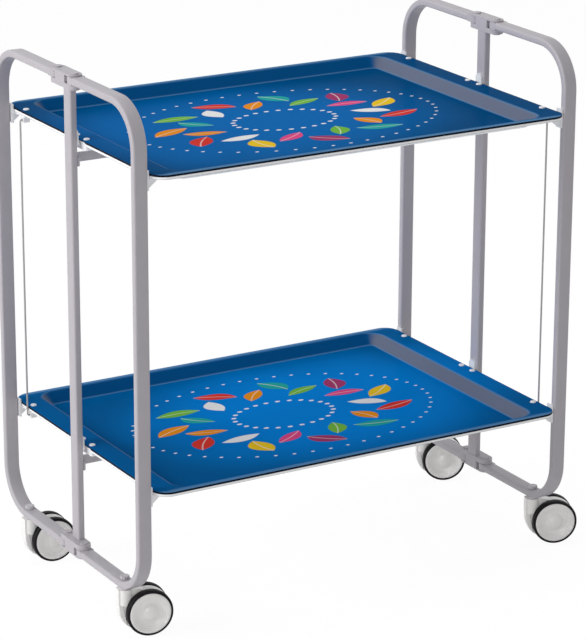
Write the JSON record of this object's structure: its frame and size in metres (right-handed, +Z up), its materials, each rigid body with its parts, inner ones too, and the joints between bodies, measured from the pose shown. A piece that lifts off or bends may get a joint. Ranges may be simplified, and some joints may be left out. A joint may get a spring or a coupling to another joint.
{
  "type": "folding kitchen cart",
  "caption": "Folding kitchen cart: shallow pressed trays tilt between hinged flat-tube end loops that stand on twin-wheel casters.",
  "frame": {"origin": "on the floor, midway between the two end loops", "axes": "+X along the trays to the right, +Y from the front to the rear, +Z up"},
  "size_m": [0.7297, 0.44, 0.7389],
  "materials": {
    "grey_enamel": "satin enamel",
    "blue_tray": "glossy printed enamel",
    "white_plastic": "moulded",
    "caster_plastic": "moulded",
    "cap_plastic": "moulded, ribbed",
    "black_tyre": "smooth rubber",
    "steel_wire": "drawn wire",
    "rivet_steel": "dull zinc"
  },
  "bodies": {
    "frame": {"left_post": "grey_enamel", "right_post": "grey_enamel", "upper_rail": "grey_enamel", "lower_rail": "grey_enamel", "rail_lugs": "grey_enamel", "left_hinge_plates": "grey_enamel", "right_hinge_plates": "grey_enamel", "hinge_pins": "grey_enamel", "pivot_ears": "white_plastic", "pivot_pegs": "white_plastic"},
    "upper_tray": {"upper_tray": "blue_tray", "upper_bearings": "white_plastic", "upper_corner_brackets": "white_plastic", "upper_tray_rivets": "white_plastic", "upper_rod_holders": "white_plastic"},
    "lower_tray": {"lower_tray": "blue_tray", "lower_bearings": "white_plastic", "lower_corner_brackets": "white_plastic", "lower_tray_rivets": "white_plastic", "lower_rod_holders": "white_plastic"},
    "left_rod": {"left_rod": "steel_wire"},
    "right_rod": {"right_rod": "steel_wire"},
    "left_front_half": {"left_front_tube": "grey_enamel", "left_front_plugs": "grey_enamel", "left_front_stem": "cap_plastic"},
    "left_front_swivel": {"left_front_hood": "caster_plastic", "left_front_axle": "rivet_steel"},
    "left_front_outer_wheel": {"left_front_outer_disc": "caster_plastic", "left_front_outer_tyre": "black_tyre"},
    "left_front_inner_wheel": {"left_front_inner_disc": "caster_plastic", "left_front_inner_tyre": "black_tyre"},
    "left_rear_half": {"left_rear_tube": "grey_enamel", "left_rear_plugs": "grey_enamel", "left_rear_stem": "cap_plastic"},
    "left_rear_swivel": {"left_rear_hood": "caster_plastic", "left_rear_axle": "rivet_steel"},
    "left_rear_outer_wheel": {"left_rear_outer_disc": "caster_plastic", "left_rear_outer_tyre": "black_tyre"},
    "left_rear_inner_wheel": {"left_rear_inner_disc": "caster_plastic", "left_rear_inner_tyre": "black_tyre"},
    "right_front_half": {"right_front_tube": "grey_enamel", "right_front_plugs": "grey_enamel", "right_front_stem": "cap_plastic"},
    "right_front_swivel": {"right_front_hood": "caster_plastic", "right_front_axle": "rivet_steel"},
    "right_front_outer_wheel": {"right_front_outer_disc": "caster_plastic", "right_front_outer_tyre": "black_tyre"},
    "right_front_inner_wheel": {"right_front_inner_disc": "caster_plastic", "right_front_inner_tyre": "black_tyre"},
    "right_rear_half": {"right_rear_tube": "grey_enamel", "right_rear_plugs": "grey_enamel", "right_rear_stem": "cap_plastic"},
    "right_rear_swivel": {"right_rear_hood": "caster_plastic", "right_rear_axle": "rivet_steel"},
    "right_rear_outer_wheel": {"right_rear_outer_disc": "caster_plastic", "right_rear_outer_tyre": "black_tyre"},
    "right_rear_inner_wheel": {"right_rear_inner_disc": "caster_plastic", "right_rear_inner_tyre": "black_tyre"}
  },
  "joints": [
    {"name": "left_front_fold", "type": "hinge", "parent": "frame", "child": "left_front_half", "pos_m": [-0.327, -0.024, 0.402], "axis": [0, 0, 1], "range_deg": [-90, 0]},
    {"name": "left_front_swivel", "type": "hinge", "parent": "left_front_half", "child": "left_front_swivel", "pos_m": [-0.327, -0.144, 0.055], "axis": [0, 0, 1], "continuous": true},
    {"name": "left_front_outer_spin", "type": "hinge", "parent": "left_front_swivel", "child": "left_front_outer_wheel", "pos_m": [-0.29751, -0.14952, 0.032], "axis": [-0.184, -0.9829, 0], "continuous": true},
    {"name": "left_front_inner_spin", "type": "hinge", "parent": "left_front_swivel", "child": "left_front_inner_wheel", "pos_m": [-0.29751, -0.14952, 0.032], "axis": [-0.184, -0.9829, 0], "continuous": true},
    {"name": "left_rear_fold", "type": "hinge", "parent": "frame", "child": "left_rear_half", "pos_m": [-0.327, 0.024, 0.402], "axis": [0, 0, 1], "range_deg": [0, 90]},
    {"name": "left_rear_swivel", "type": "hinge", "parent": "left_rear_half", "child": "left_rear_swivel", "pos_m": [-0.327, 0.144, 0.055], "axis": [0, 0, 1], "continuous": true},
    {"name": "left_rear_outer_spin", "type": "hinge", "parent": "left_rear_swivel", "child": "left_rear_outer_wheel", "pos_m": [-0.29703, 0.14274, 0.032], "axis": [-0.0419, -0.9991, 0], "continuous": true},
    {"name": "left_rear_inner_spin", "type": "hinge", "parent": "left_rear_swivel", "child": "left_rear_inner_wheel", "pos_m": [-0.29703, 0.14274, 0.032], "axis": [-0.0419, -0.9991, 0], "continuous": true},
    {"name": "right_front_fold", "type": "hinge", "parent": "frame", "child": "right_front_half", "pos_m": [0.327, -0.024, 0.402], "axis": [0, 0, 1], "range_deg": [0, 90]},
    {"name": "right_front_swivel", "type": "hinge", "parent": "right_front_half", "child": "right_front_swivel", "pos_m": [0.327, -0.144, 0.055], "axis": [0, 0, 1], "continuous": true},
    {"name": "right_front_outer_spin", "type": "hinge", "parent": "right_front_swivel", "child": "right_front_outer_wheel", "pos_m": [0.35508, -0.15455, 0.032], "axis": [-0.3518, -0.9361, 0], "continuous": true},
    {"name": "right_front_inner_spin", "type": "hinge", "parent": "right_front_swivel", "child": "right_front_inner_wheel", "pos_m": [0.35508, -0.15455, 0.032], "axis": [-0.3518, -0.9361, 0], "continuous": true},
    {"name": "right_rear_fold", "type": "hinge", "parent": "frame", "child": "right_rear_half", "pos_m": [0.327, 0.024, 0.402], "axis": [0, 0, 1], "range_deg": [-90, 0]},
    {"name": "right_rear_swivel", "type": "hinge", "parent": "right_rear_half", "child": "right_rear_swivel", "pos_m": [0.327, 0.144, 0.055], "axis": [0, 0, 1], "continuous": true},
    {"name": "right_rear_outer_spin", "type": "hinge", "parent": "right_rear_swivel", "child": "right_rear_outer_wheel", "pos_m": [0.35449, 0.13199, 0.032], "axis": [-0.4003, -0.9164, 0], "continuous": true},
    {"name": "right_rear_inner_spin", "type": "hinge", "parent": "right_rear_swivel", "child": "right_rear_inner_wheel", "pos_m": [0.35449, 0.13199, 0.032], "axis": [-0.4003, -0.9164, 0], "continuous": true},
    {"name": "upper_tilt", "type": "hinge", "parent": "frame", "child": "upper_tray", "pos_m": [0, 0, 0.638], "axis": [1, 0, 0], "range_deg": [0, 40]},
    {"name": "lower_tilt", "type": "hinge", "parent": "frame", "child": "lower_tray", "pos_m": [0, 0, 0.214], "axis": [1, 0, 0], "range_deg": [0, 40]},
    {"name": "left_rod_turn", "type": "hinge", "parent": "upper_tray", "child": "left_rod", "pos_m": [0, 0.168, 0.632], "axis": [1, 0, 0], "range_deg": [-40, 0]},
    {"name": "right_rod_turn", "type": "hinge", "parent": "upper_tray", "child": "right_rod", "pos_m": [0, -0.168, 0.632], "axis": [1, 0, 0], "range_deg": [-40, 0]}
  ],
  "couplings": [
    {"joint": "lower_tilt", "follows": "upper_tilt", "ratio": 1},
    {"joint": "left_rod_turn", "follows": "upper_tilt", "ratio": -1},
    {"joint": "right_rod_turn", "follows": "upper_tilt", "ratio": -1}
  ]
}
